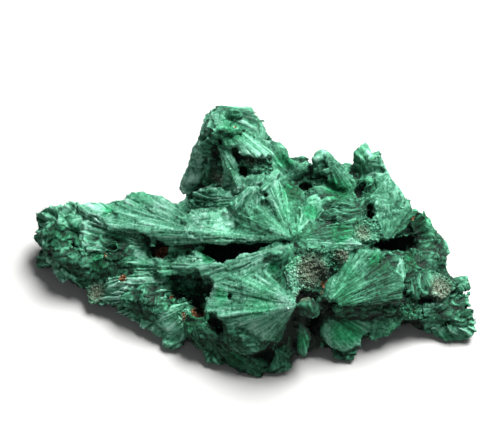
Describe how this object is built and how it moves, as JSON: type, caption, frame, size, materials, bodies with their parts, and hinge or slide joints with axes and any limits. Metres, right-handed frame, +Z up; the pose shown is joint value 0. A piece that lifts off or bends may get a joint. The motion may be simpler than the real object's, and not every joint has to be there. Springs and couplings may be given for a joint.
{
  "type": "fibrous malachite specimen",
  "caption": "Irregular intergrown mass of radiating malachite needle sheaves with pits and slots, lying on its own flattened underside.",
  "frame": {"origin": "middle of the bounding box in X and Y, at the level that the specimen lies on", "axes": "+X along the length, with the narrow foot at +X and the knobbly arm at -X; -Y towards the side that the picture shows; +Z up"},
  "size_m": [0.1, 0.0524, 0.04],
  "materials": {
    "malachite": "silky fibrous green, pale along the needles and near black in the pits, with brown limonite stains"
  },
  "bodies": {
    "root": {"malachite_specimen": "malachite"}
  },
  "joints": []
}
